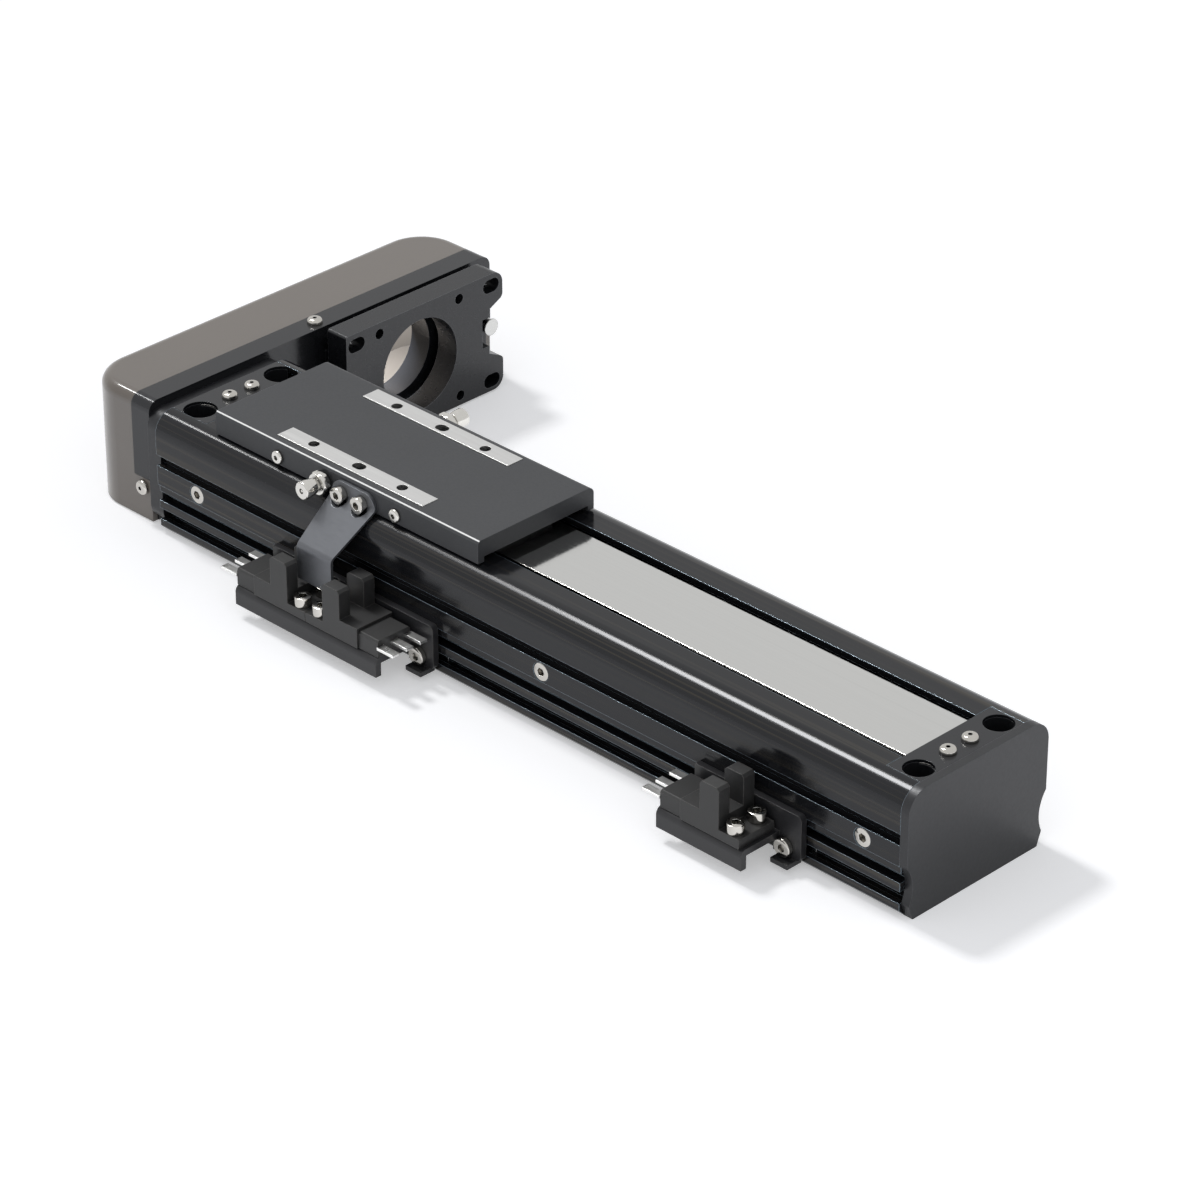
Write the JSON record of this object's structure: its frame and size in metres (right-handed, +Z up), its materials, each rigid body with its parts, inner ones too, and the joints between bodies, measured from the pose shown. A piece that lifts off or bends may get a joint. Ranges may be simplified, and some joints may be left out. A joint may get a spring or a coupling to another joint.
{
  "type": "ball screw linear actuator",
  "caption": "Covered ball screw actuator with a folded motor mount, a steel cover strip, a flat carriage and side-mounted slot sensors.",
  "frame": {"origin": "centre of the base's bottom face, halfway between the plain end plate and the belt housing", "axes": "+X along the travel, away from the belt housing; +Y towards the motor side; +Z up, out of the mounting surface"},
  "size_m": [0.324, 0.1565, 0.0461],
  "materials": {
    "black_anodised": "black anodised, satin",
    "hard_steel": "ground",
    "polished_strip": "bright rolled",
    "plated_screw": "nickel plated",
    "black_rubber": "matte",
    "grey_cover": "satin warm grey",
    "black_plastic": "fine grained",
    "tinned_brass": "tinned",
    "black_sheet": "black satin",
    "brushed_pad": "brushed along the travel",
    "pulley_alloy": "machined"
  },
  "bodies": {
    "base": {"base_extrusion": "black_anodised", "raceway_near": "hard_steel", "raceway_far": "hard_steel", "side_cover_near": "black_anodised", "side_cover_far": "black_anodised", "front_block": "black_anodised", "rear_block": "black_anodised", "front_strip_holder": "black_anodised", "rear_strip_holder": "black_anodised", "cover_strip": "polished_strip", "strip_screws": "plated_screw", "front_end_plate": "black_anodised", "rear_end_plate": "black_anodised", "front_bearing": "hard_steel", "rear_bearings": "hard_steel", "front_bumper": "black_rubber", "rear_bumper": "black_rubber", "wall_screws": "plated_screw", "housing_plate": "black_anodised", "housing_screws": "plated_screw", "belt_cover": "grey_cover", "cover_screws": "plated_screw", "tension_post": "plated_screw", "rear_limit_sensor": "black_plastic", "home_sensor": "black_plastic", "front_limit_sensor": "black_plastic", "sensor_sockets": "black_plastic", "sensor_terminal_blades": "tinned_brass", "sensor_screws": "plated_screw", "rear_sensor_bracket": "black_sheet", "front_sensor_bracket": "black_sheet", "bracket_screws": "plated_screw", "bracket_t_nuts": "plated_screw"},
    "motor_mount": {"motor_plate": "black_anodised"},
    "carriage": {"nut_block": "hard_steel", "return_caps": "black_plastic", "ball_nut": "hard_steel", "ball_nut_screws": "plated_screw", "strip_guides": "black_plastic", "carriage_table": "black_anodised", "carriage_pad_near": "brushed_pad", "carriage_pad_far": "brushed_pad", "table_screws": "plated_screw", "carriage_plugs": "plated_screw", "grease_nipple_near": "plated_screw", "grease_nipple_far": "plated_screw", "sensor_flag": "black_sheet", "flag_screws": "plated_screw"},
    "screw": {"ball_screw": "hard_steel", "bearing_lock_nut": "plated_screw", "driven_pulley": "pulley_alloy", "pulley_set_screws": "plated_screw"}
  },
  "joints": [
    {"name": "carriage_slide", "type": "slide", "parent": "base", "child": "carriage", "axis": [1, 0, 0], "range_m": [-0.008, 0.15]},
    {"name": "screw_spin", "type": "hinge", "parent": "base", "child": "screw", "pos_m": [0, 0, 0.0202], "axis": [1, 0, 0], "range_deg": [-288.5, 5400.5]},
    {"name": "belt_tension_slide", "type": "slide", "parent": "base", "child": "motor_mount", "axis": [0, 1, 0], "range_m": [-0.001, 0.001]}
  ],
  "couplings": [
    {"joint": "screw_spin", "follows": "carriage_slide", "rad_per_m": 628.32}
  ]
}
